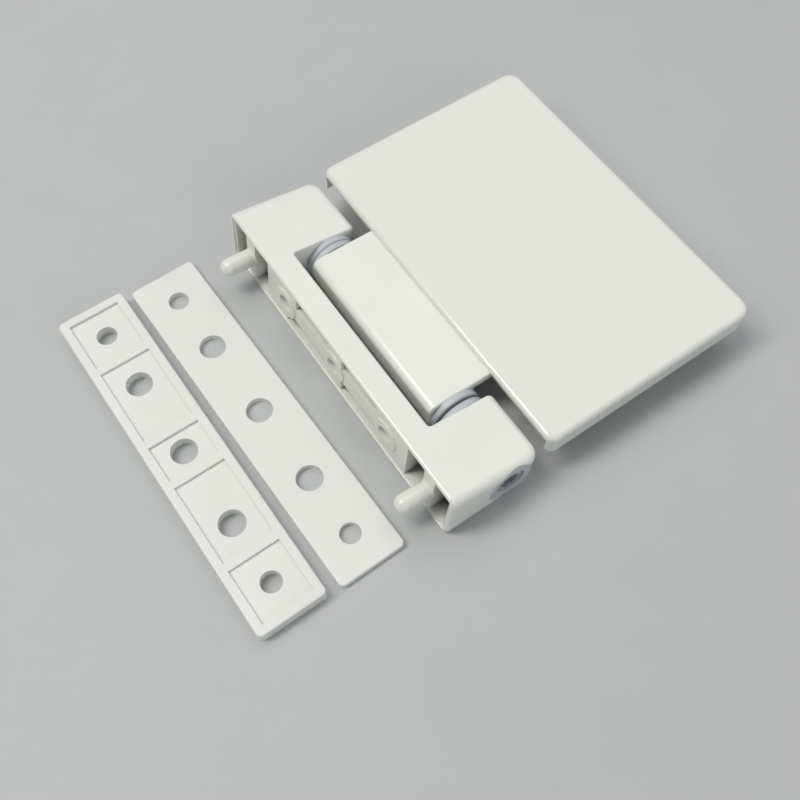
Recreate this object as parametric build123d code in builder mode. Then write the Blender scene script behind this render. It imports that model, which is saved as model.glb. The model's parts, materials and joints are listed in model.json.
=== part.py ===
from build123d import *
from math import cos, radians, sin, sqrt, tan
import os

# A flag hinge for a door whose sash stands proud of its frame, lying down with its flag level.
# Millimetres. X runs from the frame leaf's mounting face towards the flag, Y along the pin and Z up.
# The origin is the middle of the frame leaf's mounting face. The frame leaf lies on its tapered lower
# side, so its own axes are tilted by that taper, and the flag stands level on the sash leaf's pegs.

# Frame leaf: a casting with a web, two end blocks and two pegs
leaf_length = 102.3
base_width = 18.0
side_taper = 4.7
leaf_depth = 27.15
web_depth = 7.4
block_length = 20.35
axis_inset = 8.3
block_corner = 4.0
block_inner_corner = 2.2
block_inner_overrun = 0.2
block_edge = 2.2
base_edge = 0.8
web_edge = 0.5
gap_corner = 0.9

# Mounting side of the frame leaf
rim_width = 1.1
rim_corner = 1.2
floor_step = 0.4
peg_radius = 2.5
peg_length = 8.8
peg_nose = 2.3
peg_root_radius = 2.7
peg_inset = 9.85
peg_rib_width = 4.2
pocket_wall = 1.9
pocket_roof = 1.8
pocket_inner_wall = 1.6
pocket_end_wall = 2.0
screw_inset = 7.4
screw_radius = 2.5
screw_head_radius = 4.6
countersink_angle = 90.0
boss_radius = 4.6
web_rib_width = 5.4
web_pocket_depth = 4.6
web_pocket_gap = 3.3
upper_web_pocket_inset = 5.0
lower_web_pocket_inset = 0.4

# Pin, bushes and height screws
pin_radius = 3.5
pin_chamfer = 0.6
frame_bush_radius = 6.8
knuckle_bush_radius = 5.5
knuckle_bush_length = 14.0
flange_inset = 0.2
flange_thickness = 1.75
flange_chamfer = 0.3
bush_recess = 0.4
bush_chamfer = 0.5
height_screw_radius = 4.0
height_screw_length = 5.4
height_screw_recess = 0.3
height_screw_chamfer = 0.5
socket_across_flats = 5.0
socket_depth = 3.2
seat_clearance = 0.02
running_clearance = 0.05
axial_clearance = 0.1
axial_play = 0.9

# Sash leaf: a casting with the middle knuckle, its tongue, a ribbed plate and two pegs. Its knuckle and
# its plate are set in from the frame leaf's sides, and so are the flanges of the bushes.
knuckle_inset = 0.1
knuckle_drop = 0.5
knuckle_corner = 2.4
knuckle_edge = 0.5
tongue_fillet = 1.5
plate_drop = 1.0
plate_web = 2.6
plate_rim = 2.6
plate_setback = 1.8
plate_screw_across = 38.0
plate_screw_along = 68.0
plate_boss_radius = 6.6
sash_peg_boss_radius = 4.8

# Cover cap
cover_start = 11.44
cover_width = 67.4
cover_thickness = 1.5
cover_wall = 1.6
cover_corner = 4.2
cover_edge = 1.4
lip_corner = 2.7
cover_stub = 2.0
cover_clearance = 0.25

# Packers: plates that go on the pegs, between the frame leaf and the door frame
packer_overhang = 0.515
packer_end_overhang = 0.15
packer_corner = 1.4
packer_edge = 0.4
packer_peg_clearance = 0.3
packer_screw_clearance = 1.05
thin_packer_thickness = 1.8
thick_packer_thickness = 4.0
thick_packer_rim = 2.4
thick_packer_rib = 2.3
thick_packer_inner_rib = 6.6
thick_packer_recess = 0.8

# Where the packers lie beside the hinge, and how far they are turned (degrees)
thin_packer_gap = 11.32
thin_packer_shift = 3.4
thin_packer_turn = 1.38
thick_packer_gap = 2.8
thick_packer_shift = 3.53
thick_packer_turn = 0.76

# How far a cut runs past the face that it opens
cut_margin = 1.0

# Derived places
half_length = leaf_length / 2
half_base = base_width / 2
taper = radians(side_taper)
axis_depth = leaf_depth - axis_inset
half_front = half_base - leaf_depth * tan(taper)
half_at_axis = half_base - axis_depth * tan(taper)
half_gap = half_length - block_length
peg_offset = half_length - peg_inset
screw_offset = half_gap - screw_inset
floor = -half_base * cos(taper)
axis_x = axis_depth * cos(taper)
axis_z = -axis_depth * sin(taper)
sash_face = peg_length - (axis_z - floor)
pocket_depth = axis_depth - frame_bush_radius - pocket_roof
half_knuckle = half_gap - 2 * flange_thickness - axial_play / 2
sash_shift = axial_play / 2 - axial_clearance
knuckle_radius = half_at_axis - knuckle_inset
knuckle_top = half_at_axis - knuckle_drop
flange_radius = half_at_axis - flange_inset
plate_top = half_at_axis - plate_drop
bush_end = half_length - bush_recess
screw_outer = bush_end - height_screw_recess
screw_inner = screw_outer - height_screw_length
pin_half_length = screw_inner - axial_clearance
cover_length = leaf_length
cover_end = cover_start + cover_width
cover_middle = cover_start + cover_width / 2
cover_height = plate_top + cover_thickness - sash_face
plate_start = cover_start + plate_setback
plate_end = cover_end - cover_wall - cover_clearance
plate_middle = (plate_start + plate_end) / 2
plate_width = plate_end - plate_start
plate_length = cover_length - 2 * (cover_wall + cover_clearance)
plate_corner = cover_corner - cover_wall - cover_clearance
plate_underside = plate_top - plate_web
packer_width = base_width + 2 * packer_overhang
packer_length = leaf_length + 2 * packer_end_overhang
thin_packer_place = (-thin_packer_gap - packer_width / 2, thin_packer_shift)
thick_packer_place = (thin_packer_place[0] - packer_width - thick_packer_gap, thick_packer_shift)
thick_packer_outer_rib = (screw_offset + peg_offset) / 2
pegs = ((peg_offset, 0), (-peg_offset, 0))
leaf_screws = ((screw_offset, 0), (0, 0), (-screw_offset, 0))

# Planes of the frame leaf: its section, its plan, and its mounting face with depth counted inwards
into_leaf = (cos(taper), 0, -sin(taper))
depth_axis = Axis((0, 0, 0), into_leaf)
leaf_section = Plane(origin=(0, 0, 0), x_dir=into_leaf, z_dir=(0, -1, 0))
leaf_plan = Plane(origin=(0, 0, 0), x_dir=into_leaf, z_dir=(sin(taper), 0, cos(taper)))
mounting_face = Plane(origin=(0, 0, 0), x_dir=(0, 1, 0), z_dir=into_leaf)

# Planes of the sash leaf, which is level and slid along the pin to the upper end of its play
pin_axis = Axis((axis_x, 0, axis_z), (0, 1, 0))
pin_section = Plane(origin=(axis_x, 0, axis_z), x_dir=(1, 0, 0), z_dir=(0, -1, 0))
sash_section = Plane(origin=(axis_x, sash_shift, axis_z), x_dir=(1, 0, 0), z_dir=(0, -1, 0))
sash_mounting_face = Plane(origin=(axis_x, sash_shift, axis_z + sash_face))
sash_plate_face = Plane(origin=(axis_x, sash_shift, axis_z + plate_top))

os.makedirs("parts", exist_ok=True)


def lathe_plane(side, shift):
    """Half-section plane of a turned piece: X along the pin towards one end, Y out from the axis."""
    return Plane(origin=(axis_x, shift, axis_z), x_dir=(0, side, 0), z_dir=(side, 0, 0))


def packer_plane(place, turn):
    """Plane on which a packer lies, with X across the packer and Y along it."""
    return Plane(
        origin=(place[0], place[1], floor),
        x_dir=(cos(radians(turn)), sin(radians(turn)), 0),
    )


def packer_outline(plane):
    """Outline of a packer, with the holes for the frame leaf's pegs and screws."""
    with BuildSketch(plane) as outline:
        RectangleRounded(packer_width, packer_length, packer_corner)
        with Locations(*[(across, along) for along, across in pegs]):
            Circle(peg_radius + packer_peg_clearance, mode=Mode.SUBTRACT)
        with Locations(*[(across, along) for along, across in leaf_screws]):
            Circle(screw_radius + packer_screw_clearance, mode=Mode.SUBTRACT)
    return outline.sketch


# Frame leaf
with BuildPart() as frame_leaf:
    with BuildSketch(leaf_section):
        with BuildLine():
            Polyline(
                (0, -half_base),
                (leaf_depth, -half_front),
                (leaf_depth, half_front),
                (0, half_base),
                close=True,
            )
        make_face()
    extrude(amount=half_length, both=True)
    front = frame_leaf.faces().sort_by(depth_axis)[-1]
    fillet(front.edges().filter_by(Axis.Y, reverse=True), block_corner)
    back_edges = frame_leaf.faces().sort_by(depth_axis)[0].edges()
    sides = frame_leaf.faces().sort_by(Axis.Z)
    side_edges = sides[0].edges() + sides[-1].edges()
    fillet([edge for edge in side_edges if edge not in back_edges], block_edge)
    fillet(frame_leaf.faces().sort_by(depth_axis)[0].edges(), base_edge)
    # Space for the knuckle, flared where the blocks' inner front corners are rounded
    with BuildSketch(leaf_plan) as knuckle_space:
        with BuildLine():
            arc_end = leaf_depth + block_inner_overrun
            cheek_end = arc_end - block_inner_corner
            flare_end = half_gap + block_inner_corner
            open_side = leaf_depth + cut_margin
            Polyline(
                (cheek_end, -half_gap),
                (web_depth, -half_gap),
                (web_depth, half_gap),
                (cheek_end, half_gap),
            )
            TangentArc((cheek_end, half_gap), (arc_end, flare_end), tangent=(1, 0))
            Polyline(
                (arc_end, flare_end),
                (open_side, flare_end),
                (open_side, -flare_end),
                (arc_end, -flare_end),
            )
            TangentArc((arc_end, -flare_end), (cheek_end, -half_gap), tangent=(0, 1))
        make_face()
        fillet(knuckle_space.vertices().group_by(Axis.X)[0], gap_corner)
    extrude(amount=base_width, both=True, mode=Mode.SUBTRACT)
    web_face = frame_leaf.faces().filter_by(mounting_face).sort_by(depth_axis)[1]
    fillet(web_face.edges().filter_by(Axis.Y), web_edge)
    # Bores for the frame bushes
    with BuildSketch(leaf_section):
        with Locations((axis_depth, 0)):
            Circle(frame_bush_radius + seat_clearance)
    extrude(amount=leaf_length, both=True, mode=Mode.SUBTRACT)
    # Shallow floor of the mounting face, inside its rim and round the screw bosses
    with BuildSketch(mounting_face):
        RectangleRounded(leaf_length - 2 * rim_width, base_width - 2 * rim_width, rim_corner)
        with Locations(*leaf_screws):
            Circle(boss_radius, mode=Mode.SUBTRACT)
    extrude(amount=floor_step, mode=Mode.SUBTRACT)
    # Drafted pockets that core out the blocks, on both sides of each peg's rib
    pocket_width = base_width - 2 * pocket_wall
    for side in (1, -1):
        for start, end in (
            (half_gap + pocket_inner_wall, peg_offset - peg_rib_width / 2),
            (peg_offset + peg_rib_width / 2, half_length - pocket_end_wall),
        ):
            with BuildSketch(mounting_face):
                with Locations((side * (start + end) / 2, 0)):
                    Rectangle(end - start, pocket_width)
            extrude(amount=pocket_depth, taper=side_taper, mode=Mode.SUBTRACT)
    # Pockets in the web, above and below a middle rib that carries the screw bosses
    web_pocket_width = (pocket_width - web_rib_width) / 2
    web_pocket_level = (pocket_width + web_rib_width) / 4
    with BuildSketch(mounting_face):
        for side in (1, -1):
            for level, inset in ((1, upper_web_pocket_inset), (-1, lower_web_pocket_inset)):
                web_pocket_end = screw_offset - inset
                web_pocket_middle = (web_pocket_gap + web_pocket_end) / 2
                with Locations((side * web_pocket_middle, level * web_pocket_level)):
                    Rectangle(web_pocket_end - web_pocket_gap, web_pocket_width)
        with Locations(*leaf_screws):
            Circle(boss_radius, mode=Mode.SUBTRACT)
    extrude(amount=web_pocket_depth, mode=Mode.SUBTRACT)
    # Screw holes, countersunk from the knuckle's side
    with Locations(mounting_face.offset(web_depth)):
        with Locations(*leaf_screws):
            CounterSinkHole(screw_radius, screw_head_radius, web_depth, countersink_angle)
    # Locating pegs, on thicker roots that rise from the pockets' bottoms
    with BuildSketch(mounting_face.offset(pocket_depth)):
        with Locations(*pegs):
            Circle(peg_root_radius)
    extrude(amount=floor_step - pocket_depth)
    with BuildSketch(mounting_face.offset(floor_step)):
        with Locations(*pegs):
            Circle(peg_radius)
    extrude(amount=-floor_step - peg_length)
    peg_tips = frame_leaf.edges().filter_by(GeomType.CIRCLE).sort_by(depth_axis)[:len(pegs)]
    fillet(peg_tips, peg_nose)

frame_leaf.part.label = "frame_leaf"
export_step(frame_leaf.part, "parts/frame_leaf.step")

# Pivot pin
with BuildPart() as pivot_pin:
    with BuildSketch(pin_section):
        Circle(pin_radius)
    extrude(amount=pin_half_length, both=True)
    chamfer(pivot_pin.edges().filter_by(GeomType.CIRCLE), pin_chamfer)

pivot_pin.part.label = "pivot_pin"
export_step(pivot_pin.part, "parts/pivot_pin.step")

# The bushes and the height screw at each end of the pin
for end_name, side in (("upper", 1), ("lower", -1)):
    flange_inner = half_gap - flange_thickness
    with BuildPart() as frame_bush:
        with BuildSketch(lathe_plane(side, 0)):
            with BuildLine():
                Polyline(
                    (flange_inner, pin_radius + seat_clearance),
                    (flange_inner, flange_radius - flange_chamfer),
                    (flange_inner + flange_chamfer, flange_radius),
                    (half_gap, flange_radius),
                    (half_gap, frame_bush_radius),
                    (bush_end - bush_chamfer, frame_bush_radius),
                    (bush_end, frame_bush_radius - bush_chamfer),
                    (bush_end, height_screw_radius + running_clearance),
                    (screw_inner, height_screw_radius + running_clearance),
                    (screw_inner, pin_radius + seat_clearance),
                    close=True,
                )
            make_face()
        revolve(axis=pin_axis)
    frame_bush.part.label = f"frame_bush_{end_name}"
    export_step(frame_bush.part, f"parts/frame_bush_{end_name}.step")

    knuckle_flange_outer = half_knuckle + flange_thickness
    with BuildPart() as knuckle_bush:
        with BuildSketch(lathe_plane(side, sash_shift)):
            with BuildLine():
                Polyline(
                    (half_knuckle - knuckle_bush_length, pin_radius + running_clearance),
                    (half_knuckle - knuckle_bush_length, knuckle_bush_radius),
                    (half_knuckle, knuckle_bush_radius),
                    (half_knuckle, flange_radius),
                    (knuckle_flange_outer - flange_chamfer, flange_radius),
                    (knuckle_flange_outer, flange_radius - flange_chamfer),
                    (knuckle_flange_outer, pin_radius + running_clearance),
                    close=True,
                )
            make_face()
        revolve(axis=pin_axis)
    knuckle_bush.part.label = f"knuckle_bush_{end_name}"
    export_step(knuckle_bush.part, f"parts/knuckle_bush_{end_name}.step")

    outer_face = Plane(
        origin=(axis_x, side * screw_outer, axis_z),
        x_dir=(1, 0, 0),
        z_dir=(0, side, 0),
    )
    with BuildPart() as height_screw:
        with BuildSketch(outer_face):
            Circle(height_screw_radius)
        extrude(amount=-height_screw_length)
        chamfer(height_screw.edges().filter_by(GeomType.CIRCLE), height_screw_chamfer)
        with BuildSketch(outer_face):
            RegularPolygon(socket_across_flats / 2, 6, major_radius=False)
        extrude(amount=-socket_depth, mode=Mode.SUBTRACT)
    height_screw.part.label = f"height_screw_{end_name}"
    export_step(height_screw.part, f"parts/height_screw_{end_name}.step")

# Sash leaf
with BuildPart() as sash_leaf:
    with BuildSketch(sash_section) as knuckle_outline:
        with BuildLine():
            tongue_end = plate_start + plate_rim
            barrel_shoulder = sqrt(knuckle_radius**2 - plate_underside**2)
            outline = Polyline(
                (-knuckle_radius, 0),
                (-knuckle_radius, knuckle_top),
                (cover_start, plate_top),
                (tongue_end, plate_top),
                (tongue_end, plate_underside),
                (barrel_shoulder, plate_underside),
            )
            ThreePointArc(outline @ 1, (0, -knuckle_radius), outline @ 0)
        make_face()
        corners = knuckle_outline.vertices()
        fillet(corners.sort_by_distance((-knuckle_radius, knuckle_top))[0], knuckle_corner)
        fillet(corners.sort_by_distance((barrel_shoulder, plate_underside))[0], tongue_fillet)
    extrude(amount=half_knuckle, both=True)
    knuckle_ends = sash_leaf.faces().filter_by(Axis.Y)
    fillet(
        knuckle_ends.edges().filter_by(lambda edge: edge.center().X < axis_x + plate_start),
        knuckle_edge,
    )
    # Plate, hollowed from below between its rim and the bosses for screws and pegs
    plate_pegs = ((0, peg_offset), (0, -peg_offset))
    with BuildSketch(sash_mounting_face):
        with Locations((plate_middle, 0)):
            RectangleRounded(plate_width, plate_length, plate_corner)
    extrude(amount=plate_top - sash_face)
    with BuildSketch(sash_mounting_face):
        with Locations((plate_middle, 0)):
            RectangleRounded(plate_width - 2 * plate_rim, plate_length - 2 * plate_rim, plate_corner)
            with GridLocations(plate_screw_across, plate_screw_along, 2, 2):
                Circle(plate_boss_radius, mode=Mode.SUBTRACT)
            with Locations(*plate_pegs):
                Circle(sash_peg_boss_radius, mode=Mode.SUBTRACT)
    extrude(amount=plate_underside - sash_face, mode=Mode.SUBTRACT)
    with Locations(sash_plate_face):
        with Locations((plate_middle, 0)):
            with GridLocations(plate_screw_across, plate_screw_along, 2, 2):
                CounterSinkHole(
                    screw_radius, screw_head_radius, plate_top - sash_face, countersink_angle
                )
    # Bore for the knuckle bushes
    with BuildSketch(sash_section):
        Circle(knuckle_bush_radius + seat_clearance)
    extrude(amount=half_knuckle, both=True, mode=Mode.SUBTRACT)
    # Locating pegs, on which the level flag stands
    with BuildSketch(sash_mounting_face):
        with Locations((plate_middle, 0)):
            with Locations(*plate_pegs):
                Circle(peg_radius)
    extrude(amount=-peg_length)
    sash_peg_tips = sash_leaf.edges().filter_by(GeomType.CIRCLE).sort_by(Axis.Z)[:len(plate_pegs)]
    fillet(sash_peg_tips, peg_nose)

sash_leaf.part.label = "sash_leaf"
export_step(sash_leaf.part, "parts/sash_leaf.step")

# Cover cap: a shallow tray over the plate, with a rounded lip instead of a wall towards the knuckle
with BuildPart() as cover_cap:
    with BuildSketch(sash_mounting_face) as cover_outline:
        with Locations((cover_middle, 0)):
            Rectangle(cover_width, cover_length)
        fillet(cover_outline.vertices().group_by(Axis.X)[0], lip_corner)
        fillet(cover_outline.vertices().group_by(Axis.X)[-1], cover_corner)
    extrude(amount=cover_height)
    fillet(cover_cap.faces().sort_by(Axis.Z)[-1].edges(), cover_edge)
    with BuildSketch(sash_mounting_face):
        with Locations((cover_middle, 0)):
            RectangleRounded(
                cover_width - 2 * cover_wall,
                cover_length - 2 * cover_wall,
                lip_corner - cover_wall,
            )
        with Locations((cover_start, 0)):
            Rectangle(2 * (cover_wall + cut_margin), cover_length - 2 * cover_stub)
    extrude(amount=cover_height - cover_thickness, mode=Mode.SUBTRACT)

cover_cap.part.label = "cover_cap"
export_step(cover_cap.part, "parts/cover_cap.step")

# Thin packer
with BuildPart() as packer_thin:
    thin_packer_base = packer_plane(thin_packer_place, thin_packer_turn)
    extrude(packer_outline(thin_packer_base), amount=thin_packer_thickness)
    fillet(packer_thin.faces().sort_by(Axis.Z)[-1].outer_wire().edges(), packer_edge)

packer_thin.part.label = "packer_thin"
export_step(packer_thin.part, "parts/packer_thin.step")

# Thick packer, recessed on top between its rim and four cross ribs
with BuildPart() as packer_thick:
    thick_packer_base = packer_plane(thick_packer_place, thick_packer_turn)
    extrude(packer_outline(thick_packer_base), amount=thick_packer_thickness)
    fillet(packer_thick.faces().sort_by(Axis.Z)[-1].outer_wire().edges(), packer_edge)
    with BuildSketch(thick_packer_base.offset(thick_packer_thickness)):
        Rectangle(packer_width - 2 * thick_packer_rim, packer_length - 2 * thick_packer_rim)
        for rib in (thick_packer_inner_rib, thick_packer_outer_rib):
            with Locations((0, rib), (0, -rib)):
                Rectangle(packer_width, thick_packer_rib, mode=Mode.SUBTRACT)
    extrude(amount=-thick_packer_recess, mode=Mode.SUBTRACT)

packer_thick.part.label = "packer_thick"
export_step(packer_thick.part, "parts/packer_thick.step")
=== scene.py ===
import json
from collections import namedtuple
from math import cos, radians, sin

import bpy
from mathutils import Matrix, Vector


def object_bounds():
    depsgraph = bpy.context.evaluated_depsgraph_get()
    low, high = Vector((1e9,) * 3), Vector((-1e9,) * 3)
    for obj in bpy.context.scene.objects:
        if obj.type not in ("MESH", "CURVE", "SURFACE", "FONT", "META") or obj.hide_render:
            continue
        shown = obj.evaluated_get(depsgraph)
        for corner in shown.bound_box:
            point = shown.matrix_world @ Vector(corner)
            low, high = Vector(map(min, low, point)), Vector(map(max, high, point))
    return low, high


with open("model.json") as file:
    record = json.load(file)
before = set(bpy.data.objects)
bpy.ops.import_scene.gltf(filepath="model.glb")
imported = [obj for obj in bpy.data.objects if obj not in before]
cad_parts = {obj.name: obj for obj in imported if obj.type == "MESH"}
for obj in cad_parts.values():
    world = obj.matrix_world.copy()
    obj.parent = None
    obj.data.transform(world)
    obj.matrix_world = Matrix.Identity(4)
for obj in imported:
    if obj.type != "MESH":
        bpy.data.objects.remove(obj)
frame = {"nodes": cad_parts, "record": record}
cad_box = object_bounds()

# Looks of a white flag hinge that lies on a pale table, with its packers beside it.
# Metres, in the frame of the solids. Powers are in watts, and colours are linear.

Light = namedtuple("Light", "name place width depth power colour")
# The variation is a share of the colour, and the spread is added to and taken from the roughness.
Finish = namedtuple("Finish", "colour variation roughness spread metallic grain_size grain_height")

# Camera
UP = Vector((0, 0, 1))
CAMERA_PLACE = Vector((-0.05556, -0.10666, 0.21588))
CAMERA_TARGET = Vector((0.008708, -0.017831, 0.00019))
CAMERA_ROLL = radians(1.2605)
CAMERA_LENS = 43.103  # millimetres, as is the sensor
CAMERA_SENSOR = 36.0
CLIP_START = 0.01
CLIP_END = 20.0

# Lights
LIGHT_AIM = Vector((0.01, 0.0, 0.0))
LIGHTS = (
    Light("top_light", Vector((0.65, 0.80, 1.75)), 2.25, 1.50, 12.6, (0.99, 0.99, 1.0)),
    Light("overhead_light", Vector((-0.75, 0.58, 1.96)), 0.50, 1.00, 17.4, (1.0, 0.985, 0.92)),
    Light("left_light", Vector((-1.55, 0.70, 1.78)), 0.50, 0.80, 11.0, (0.96, 1.0, 0.90)),
    Light("front_fill", Vector((-0.12, -2.38, 1.12)), 2.00, 1.25, 11.0, (0.98, 1.0, 0.98)),
    Light("side_fill", Vector((2.12, -1.12, 1.00)), 1.50, 1.50, 7.5, (0.98, 0.99, 1.0)),
)
WORLD_COLOUR = (0.92, 0.95, 0.96)
WORLD_STRENGTH = 0.22

# Finishes of the material slots, and of the table
FINISHES = {
    "coated_casting": Finish((0.82, 0.83, 0.79), 0.02, 0.16, 0.02, 0.0, 0.0012, 0.000003),
    "cover_plastic": Finish((0.78, 0.79, 0.75), 0.01, 0.14, 0.02, 0.0, 0.0060, 0.000002),
    "packer_plastic": Finish((0.78, 0.79, 0.76), 0.02, 0.42, 0.04, 0.0, 0.0008, 0.000006),
    "bush_plastic": Finish((0.50, 0.53, 0.57), 0.03, 0.40, 0.04, 0.0, 0.0008, 0.000004),
    "pin_steel": Finish((0.56, 0.56, 0.57), 0.05, 0.28, 0.05, 1.0, 0.0005, 0.000003),
    "screw_steel": Finish((0.62, 0.64, 0.66), 0.06, 0.45, 0.05, 1.0, 0.0005, 0.000004),
}
TABLE_FINISH = Finish((0.50, 0.51, 0.52), 0.01, 0.60, 0.05, 0.0, 0.0030, 0.000005)
TABLE_HALF = 3.0

# Patches of tone: their size, their detail, and the noise values of the darkest and lightest tone
PATCH_SIZE = 0.018
PATCH_DETAIL = 3
DARKEST_AT = 0.3
LIGHTEST_AT = 0.7

# Grain, which roughens the gloss and the surface
GRAIN_DETAIL = 2
BUMP_STRENGTH = 0.6

# Painted shade in deep pockets: where a surface lies deep in a pocket of its own piece, its colour is
# darkened towards near black, standing in for the shade that falls there.
# The two limits are shares of the directions in which no wall of the same piece is within reach.
POCKET_SLOT = "coated_casting"
POCKET_REACH = 0.016
POCKET_RAYS = 16
FULL_SHADE_BELOW = 0.06
NO_SHADE_ABOVE = 0.33
# near-black colour of the painted shade in the pockets
POCKET_SHADE_COLOUR = (0.04, 0.05, 0.045)


def rgba(colour, factor=1.0):
    """An opaque colour for a socket, made lighter or darker by a factor."""
    return [c * factor for c in colour] + [1]


def noise(tree, coordinates, feature_size, detail):
    """A noise texture with features of the given size."""
    texture = tree.nodes.new("ShaderNodeTexNoise")
    texture.inputs["Scale"].default_value = 1.0 / feature_size
    texture.inputs["Detail"].default_value = detail
    tree.links.new(coordinates, texture.inputs["Vector"])
    return texture.outputs["Fac"]


def finish_material(name, finish):
    """A moulded, coated or machined surface: faint patches of tone, uneven gloss and a fine grain."""
    material = bpy.data.materials.new(name)
    material.use_nodes = True
    tree = material.node_tree
    shader = tree.nodes["Principled BSDF"]
    shader.inputs["Metallic"].default_value = finish.metallic
    coordinates = tree.nodes.new("ShaderNodeTexCoord").outputs["Object"]

    tones = tree.nodes.new("ShaderNodeValToRGB")
    darkest, lightest = tones.color_ramp.elements
    darkest.position = DARKEST_AT
    darkest.color = rgba(finish.colour, 1 - finish.variation)
    lightest.position = LIGHTEST_AT
    lightest.color = rgba(finish.colour, 1 + finish.variation)
    patches = noise(tree, coordinates, PATCH_SIZE, PATCH_DETAIL)
    tree.links.new(patches, tones.inputs["Fac"])
    tree.links.new(tones.outputs["Color"], shader.inputs["Base Color"])

    grain = noise(tree, coordinates, finish.grain_size, GRAIN_DETAIL)
    gloss = tree.nodes.new("ShaderNodeMapRange")
    gloss.inputs["To Min"].default_value = finish.roughness - finish.spread
    gloss.inputs["To Max"].default_value = finish.roughness + finish.spread
    tree.links.new(grain, gloss.inputs["Value"])
    tree.links.new(gloss.outputs["Result"], shader.inputs["Roughness"])

    bump = tree.nodes.new("ShaderNodeBump")
    bump.inputs["Strength"].default_value = BUMP_STRENGTH
    bump.inputs["Distance"].default_value = finish.grain_height
    tree.links.new(grain, bump.inputs["Height"])
    tree.links.new(bump.outputs["Normal"], shader.inputs["Normal"])
    return material


def painted_pocket_shade(material):
    """Paints shade into deep pockets: darkens the colour towards near black where a surface lies deep
    in a pocket of its own piece.
    """
    tree = material.node_tree
    base_colour = tree.nodes["Principled BSDF"].inputs["Base Color"]
    coat = base_colour.links[0].from_socket
    openness = tree.nodes.new("ShaderNodeAmbientOcclusion")
    openness.only_local = True
    openness.samples = POCKET_RAYS
    openness.inputs["Distance"].default_value = POCKET_REACH
    unshaded_share = tree.nodes.new("ShaderNodeMapRange")
    unshaded_share.inputs["From Min"].default_value = FULL_SHADE_BELOW
    unshaded_share.inputs["From Max"].default_value = NO_SHADE_ABOVE
    tree.links.new(openness.outputs["AO"], unshaded_share.inputs["Value"])
    # mixes the near-black painted shade into the coat colour, by how deep in a pocket the surface
    # lies
    mix = tree.nodes.new("ShaderNodeMixRGB")
    mix.inputs["Color1"].default_value = rgba(POCKET_SHADE_COLOUR)
    tree.links.new(unshaded_share.outputs["Result"], mix.inputs["Fac"])
    tree.links.new(coat, mix.inputs["Color2"])
    tree.links.new(mix.outputs["Color"], base_colour)


def dress_nodes():
    """Gives each node the finish of its material slot."""
    slots = {part["node"]: part["material_slot"] for part in frame["record"]["subparts"]}
    materials = {slot: finish_material(slot, finish) for slot, finish in FINISHES.items()}
    # paints shade into the deep pockets of the coated casting
    painted_pocket_shade(materials[POCKET_SLOT])
    for name, node in frame["nodes"].items():
        node.data.materials.clear()
        node.data.materials.append(materials[slots[name]])


def make_table(level):
    """The plain table that the hinge lies on."""
    half = TABLE_HALF
    corners = [(-half, -half, level), (half, -half, level), (half, half, level), (-half, half, level)]
    mesh = bpy.data.meshes.new("table")
    mesh.from_pydata(corners, [], [(0, 1, 2, 3)])
    table = bpy.data.objects.new("table", mesh)
    bpy.context.scene.collection.objects.link(table)
    mesh.materials.append(finish_material("table", TABLE_FINISH))


def make_lights():
    """Large soft lights round the hinge, and a pale surround."""
    for light in LIGHTS:
        data = bpy.data.lights.new(light.name, "AREA")
        data.shape = "RECTANGLE"
        data.size = light.width
        data.size_y = light.depth
        data.energy = light.power
        data.color = light.colour
        lamp = bpy.data.objects.new(light.name, data)
        lamp.location = light.place
        lamp.rotation_euler = (LIGHT_AIM - light.place).to_track_quat("-Z", "Y").to_euler()
        bpy.context.scene.collection.objects.link(lamp)
    world = bpy.data.worlds.new("surround")
    world.use_nodes = True
    background = world.node_tree.nodes["Background"]
    background.inputs["Color"].default_value = rgba(WORLD_COLOUR)
    background.inputs["Strength"].default_value = WORLD_STRENGTH
    bpy.context.scene.world = world


def make_camera():
    """The camera at the photograph's angle, with its slight roll."""
    forward = (CAMERA_TARGET - CAMERA_PLACE).normalized()
    level_right = forward.cross(UP).normalized()
    level_up = level_right.cross(forward)
    right = level_right * cos(CAMERA_ROLL) + level_up * sin(CAMERA_ROLL)
    up = level_up * cos(CAMERA_ROLL) - level_right * sin(CAMERA_ROLL)
    data = bpy.data.cameras.new("camera")
    data.sensor_fit = "HORIZONTAL"
    data.sensor_width = CAMERA_SENSOR
    data.lens = CAMERA_LENS
    data.clip_start = CLIP_START
    data.clip_end = CLIP_END
    camera = bpy.data.objects.new("camera", data)
    turned = Matrix((right, up, -forward)).transposed().to_4x4()
    camera.matrix_world = Matrix.Translation(CAMERA_PLACE) @ turned
    bpy.context.scene.collection.objects.link(camera)
    bpy.context.scene.camera = camera


bpy.context.scene.view_settings.view_transform = "Standard"
dress_nodes()
make_table(cad_box[0].z)
make_lights()
make_camera()
